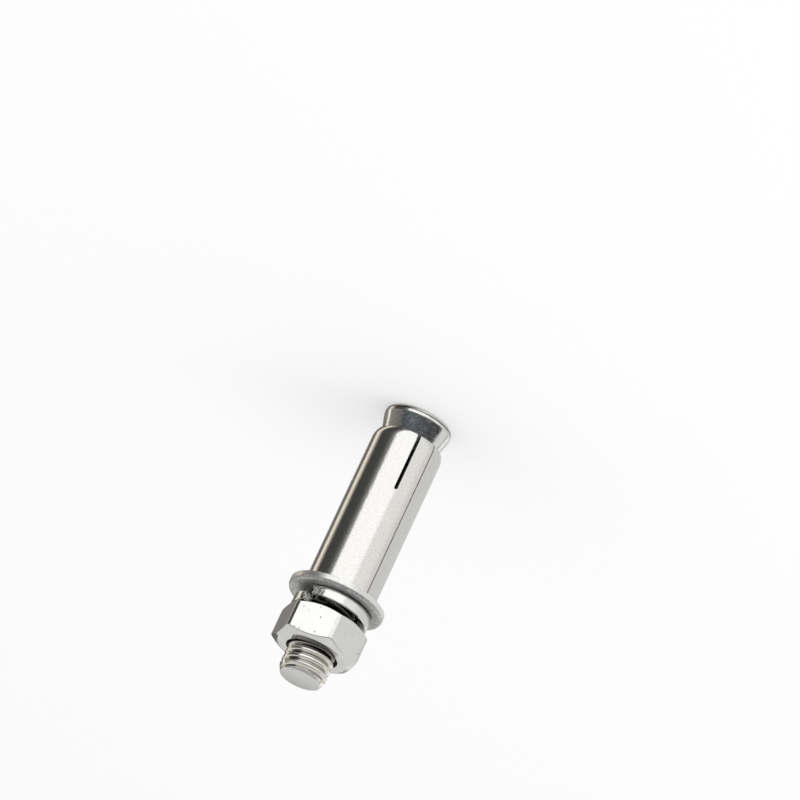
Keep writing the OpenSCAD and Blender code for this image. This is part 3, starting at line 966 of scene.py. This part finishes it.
def coil_tree():
    """Wire of a rounded section that climbs round Z, from its lower cut end to its upper one."""
    tree, given = new_tree("wound_wire", "Geometry", {
        "Float": ["Radius", "Width", "Thickness", "Corner", "Lower Height", "Rise", "First Angle", "Run",
                  "Slant", "Gather", "End Reach", "End Shrink"],
        "Int": ["Steps", "Section Steps", "Corner Steps"],
        "Material": ["Steel"],
    }, {"Geometry": ["Geometry"]})
    line = wire(tree, "GeometryNodeCurvePrimitiveLine")
    path = wire(tree, "GeometryNodeResampleCurve", {"Curve": line, "Count": given["Steps"]})
    factor = wire(tree, "GeometryNodeSplineParameter").outputs["Factor"]
    wave = calc("SINE", calc("MULTIPLY", factor, 2 * math.pi))
    closer = calc("DIVIDE", calc("MULTIPLY", wave, given["Gather"]), 2 * math.pi)
    share = calc("SUBTRACT", factor, closer)
    # How much of the section is left: all of it along the wire, a little less at the rounded ends
    length = calc("ABSOLUTE", calc("MULTIPLY", given["Run"], given["Radius"]))
    nearer = calc("MINIMUM", share, calc("SUBTRACT", 1.0, share))
    from_end = calc("MULTIPLY", nearer, length)
    missing = map_range(from_end, 0.0, given["End Reach"], 1.0, 0.0, kind="LINEAR")
    full = calc("SQRT", calc("SUBTRACT", 1.0, calc("MULTIPLY", missing, missing)))
    lost = calc("MULTIPLY", calc("SUBTRACT", 1.0, full), given["End Shrink"])
    left = calc("SUBTRACT", 1.0, lost)
    angle = calc("MULTIPLY_ADD", share, given["Run"], given["First Angle"])
    middle = calc("MULTIPLY_ADD", share, given["Rise"], given["Lower Height"])
    wound = move_points(path, round_z(given["Radius"], angle, middle))
    kept = wire(tree, "GeometryNodeCaptureAttribute", {"Geometry": wound})
    for label, value in (("Middle", middle), ("Left", left)):
        kept.capture_items.new("FLOAT", label)
        tree.links.new(value, kept.inputs[label])
    level = wire(tree, "GeometryNodeSetCurveNormal", {"Curve": kept.outputs["Geometry"]}, mode="Z_UP")
    section = wire(tree, "GeometryNodeCurvePrimitiveQuadrilateral",
                   {"Width": given["Width"], "Height": given["Thickness"]})
    eased = wire(tree, "GeometryNodeFilletCurve",
                 {"Curve": section, "Radius": given["Corner"], "Count": given["Corner Steps"]}, mode="POLY")
    even = wire(tree, "GeometryNodeResampleCurve", {"Curve": eased, "Count": given["Section Steps"]})
    swept = wire(tree, "GeometryNodeCurveToMesh", {"Curve": level, "Profile Curve": even, "Fill Caps": True})
    # Each section leans as the shear cut leans: its top is turned back and its underside forward
    x, y, z = split(wire(tree, "GeometryNodeInputPosition"))
    reach = off_axis(x, y)
    beside = calc("MULTIPLY", calc("SUBTRACT", reach, given["Radius"]), kept.outputs["Left"])
    pull = calc("DIVIDE", calc("ADD", given["Radius"], beside), reach)
    off = calc("MULTIPLY", calc("SUBTRACT", z, kept.outputs["Middle"]), kept.outputs["Left"])
    held = wire(tree, "ShaderNodeCombineXYZ", {
        "X": calc("MULTIPLY", x, pull),
        "Y": calc("MULTIPLY", y, pull),
        "Z": calc("ADD", kept.outputs["Middle"], off),
    })
    slid = calc("MULTIPLY", off, calc("TANGENT", given["Slant"]))
    lean = calc("MULTIPLY", calc("DIVIDE", slid, given["Radius"]), -1.0)
    turned = wire(tree, "ShaderNodeVectorRotate", {"Vector": held, "Angle": lean}, rotation_type="Z_AXIS")
    return end_tree(tree, move_points(swept, turned), given["Steel"])


def torn_steel_painted_light():
    """Faces that the shear tore off: coarse, too rough to mirror anything, and painted pale as painted light,
    brighter than the shade round the cut ends lets them be.
    """
    material, point, surface = bare_steel("torn_steel_painted_light", grain_size=0.25 * MM, patch_size=0.9 * MM)
    return dress(material, mix_colour(map_range(surface["Grain"], 0.36, 0.56), *TORN_PAINTED_LIGHT_GREYS),
                 roughness=0.6, height=surface["Grain"], relief=0.06 * MM, metallic=0.2)


def spring_steel(lower_end):
    """Bright drawn wire, crushed to a rough mottled grey where it bites into the flat washer."""
    material, point, surface = bare_steel("spring_steel", grain_size=0.3 * MM, patch_size=1.4 * MM)
    between = {0: point, 1: lower_end}
    near = wire(tree_of(point), "ShaderNodeVectorMath", between, operation="DISTANCE").outputs["Value"]
    ragged = calc("MULTIPLY_ADD", surface["Patches"], CRUSHED_RAGGED, near)
    crushed = map_range(ragged, *CRUSHED_EDGE, 1.0, 0.0)
    bright = mix_colour(surface["Patches"], *DRAWN_GREYS)
    mottled = mix_colour(map_range(surface["Grain"], 0.38, 0.56), *CRUSHED_GREYS)
    # The grain stands out where the wire is crushed, and hardly elsewhere
    height = calc("MULTIPLY", surface["Grain"], calc("MULTIPLY_ADD", crushed, 0.9, 0.1))
    return dress(material, mix_colour(crushed, bright, mottled),
                 calc("MULTIPLY_ADD", crushed, 0.35, patchy(surface, smooth=0.10, dull=0.20)),
                 height, relief=0.04 * MM)


def make_spring_washer():
    gap = SPRING_GAP / spring_middle
    lean = SPRING_THICKNESS * math.tan(SPRING_SLANT) / spring_middle
    first = SPRING_TURN - gap / 2 - lean / 2
    run = -(2 * math.pi - gap - lean)
    rise = spring_high.z - spring_low.z - SPRING_THICKNESS
    lower = spring_low.z + SPRING_THICKNESS / 2
    outer = spring_middle + SPRING_WIDTH / 2
    ends = [
        Vector((outer * math.cos(first), outer * math.sin(first), lower)),
        Vector((outer * math.cos(first + run), outer * math.sin(first + run), lower + rise)),
    ]
    steels = [spring_steel(ends[0]), torn_steel_painted_light()]
    mesh = bmesh.new()
    mesh.from_mesh(grow(coil_tree(), {
        "Radius": spring_middle, "Width": SPRING_WIDTH, "Thickness": SPRING_THICKNESS,
        "Corner": SPRING_CORNER, "Lower Height": lower, "Rise": rise, "First Angle": first, "Run": run,
        "Slant": SPRING_SLANT, "Gather": SPRING_GATHER, "End Reach": END_REACH, "End Shrink": END_SHRINK,
        "Steps": SPRING_STEPS, "Section Steps": SECTION_STEPS, "Corner Steps": CORNER_STEPS,
        "Steel": steels[0],
    }))
    # The two torn faces, the only ones with more than four corners, ringed so that they can be dented too
    torn = [face for face in mesh.faces if len(face.verts) > 4]
    for face in torn:
        face.material_index = TORN_SLOT
    for _ in range(TORN_RINGS):
        rings = bmesh.ops.inset_individual(mesh, faces=torn, thickness=TORN_RING_WIDTH, use_even_offset=False)
        for face in rings["faces"]:
            face.material_index = TORN_SLOT
    bmesh.ops.recalc_face_normals(mesh, faces=mesh.faces)
    mesh.normal_update()
    # Bruises: the metal is pushed in, more the nearer it lies to a cut end's outer corner
    dents = []
    for vert in mesh.verts:
        near = min((vert.co - end).length / reach for end, reach in zip(ends, BRUISE_REACHES))
        share = max(0.0, 1 - near)
        dents.append((noise.noise(vert.co / BRUISE_SIZE) + 0.5) * BRUISE_DEPTH * share)
    for vert, dent in zip(mesh.verts, dents):
        vert.co -= vert.normal * max(0.0, dent)
    piece = finish_mesh(mesh, "spring_washer_piece", steels)
    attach(piece, "sleeve")
    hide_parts("spring_washer")


make_spring_washer()


# Hexagon nut
# Pressed from stainless wire, with corners that don't quite fill, turned to a chamfer at both ends,
# countersunk and tapped. It runs on the bolt's thread.

NUT_ACROSS = 13 * MM
# Radius to the trimmed corners, and how softly and how much they are blended into the flats
NUT_CORNER = NUT_ACROSS / 2 / math.cos(math.radians(30)) - 0.18 * MM
CORNER_BLEND = 0.01 * MM
CORNER_EASE = 0.4
NUT_FACE = 5.9 * MM
NUT_CHAMFER = math.radians(30)
NUT_SINK = 4.4 * MM
NUT_TURN = math.radians(-63)
NUT_CORNER_SOFT = 0.12 * MM
THREAD_PLAY = 0.06 * MM
NUT_SIDES = 192
# The corners are crisper than the rest, so that they show as strips of their own
NUT_SHARP = math.radians(24)
BORE_SLOT, OUTSIDE_SLOT = 0, 1

PRESSED_GREY = (0.63, 0.63, 0.62)
# Colour of the pits, and of the painted shade lines at the corners
PIT_AND_SHADE_COLOUR = (0.24, 0.225, 0.205)
# Painted shade: near-black greys for the nut's countersinks and thread
BORE_SHADE_BLACKS = ((0.008, 0.0075, 0.007), (0.03, 0.028, 0.025))
# Angles off a corner's side within which a painted shade line is full and present, and how far from the nut's
# faces the lines begin to fade and end
CORNER_SHADE_REACH = (math.radians(0.3), math.radians(1.1))
CORNER_SHADE_ENDS = (1.1 * MM, 0.8 * MM)

nut_bottom, nut_top = [corner.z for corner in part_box("hex_nut")]


def hexagon_radius(angle):
    """Radius of the nut's outline, a soft minimum of its flats and of the trimmed corners."""
    off = (angle - NUT_TURN + math.pi / 6) % (math.pi / 3) - math.pi / 6
    plain = NUT_ACROSS / 2 / math.cos(off)
    ease = CORNER_BLEND * math.exp(-abs(plain - NUT_CORNER) / CORNER_BLEND) * CORNER_EASE
    return min(plain, NUT_CORNER) - ease


def nut_profile(angle):
    """Outline of the nut from its lower countersink round the outside to the upper one."""
    radius = hexagon_radius(angle)
    drop = (radius - NUT_FACE) * math.tan(NUT_CHAMFER)
    corners = [
        (NUT_SINK, nut_bottom), (NUT_FACE, nut_bottom), (radius, nut_bottom + drop),
        (radius, nut_top - drop), (NUT_FACE, nut_top), (NUT_SINK, nut_top),
    ]
    return soften(corners, NUT_CORNER_SOFT)


def nut_steel():
    """Bright pressed faces with a few small pits, and faint painted shade lines up both sides of each corner.
    """
    material, point, surface = bare_steel("nut_steel", grain_size=0.25 * MM, patch_size=2.5 * MM)
    pit = use_group(specks, Point=point, Cell_Size=0.75 * MM, Empty_Share=0.3, Reach=0.2,
                    Soft_Edge=0.08)["Specks"]
    # The painted shade lines run up both sides of each corner, clear of the chamfers
    x, y, z = split(point)
    turn = calc("SUBTRACT", calc("ARCTAN2", y, x), NUT_TURN)
    fold = calc("PINGPONG", turn, math.pi / 6)
    off = calc("ABSOLUTE", calc("SUBTRACT", fold, math.acos(NUT_ACROSS / 2 / NUT_CORNER)))
    middle, half = (nut_bottom + nut_top) / 2, (nut_top - nut_bottom) / 2
    from_middle = calc("ABSOLUTE", calc("SUBTRACT", z, middle))
    on_side = map_range(from_middle, *[half - end for end in CORNER_SHADE_ENDS], 0.35, 0.0)
    corner_shade = calc("MULTIPLY", map_range(off, *CORNER_SHADE_REACH, 1.0, 0.0), on_side)
    pits_and_shade = calc("MAXIMUM", calc("MULTIPLY", pit, 0.65), corner_shade)
    return dress(material, mix_colour(pits_and_shade, PRESSED_GREY, PIT_AND_SHADE_COLOUR),
                 calc("MULTIPLY_ADD", pit, 0.3, patchy(surface, smooth=0.10, dull=0.20)),
                 calc("SUBTRACT", calc("MULTIPLY", surface["Grain"], 0.06), pit), relief=0.03 * MM)


def bore_shade_steel():
    """Countersinks and thread of the nut: cut, never polished, and painted near black as painted shade deep
    in the bore, which hides the metal.
    """
    material, point, surface = bare_steel("bore_shade_steel", grain_size=0.3 * MM, patch_size=1.2 * MM)
    return dress(material, mix_colour(surface["Patches"], *BORE_SHADE_BLACKS),
                 patchy(surface, smooth=0.25, dull=0.40), surface["Grain"], relief=0.008 * MM,
                 metallic=0.0, specular=0.05)


def make_nut():
    steels = [bore_shade_steel(), nut_steel()]
    first = NUT_TURN + math.pi / 6
    mesh = bmesh.new()
    mesh.from_mesh(grow(screw_thread, {
        "Pitch": PITCH, "Crest": THREAD_CREST + THREAD_PLAY, "Root": THREAD_ROOT + THREAD_PLAY,
        "Start": nut_bottom, "End": nut_top, "Start Radius": NUT_SINK, "End Radius": NUT_SINK,
        "End Slope": 1.0, "Run Out": WELD, "Origin": crest_height, "First Turn": first / (2 * math.pi),
        "Side": -1.0, "Rows": float(THREAD_ROWS), "Sides": NUT_SIDES, "Steel": steels[BORE_SLOT],
    }))
    turn_profile(mesh, nut_profile, NUT_SIDES, OUTSIDE_SLOT, first=first)
    piece = finish_mesh(mesh, "hex_nut_piece", steels, sharp=NUT_SHARP)
    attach(piece, "nut")
    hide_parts("hex_nut")


make_nut()
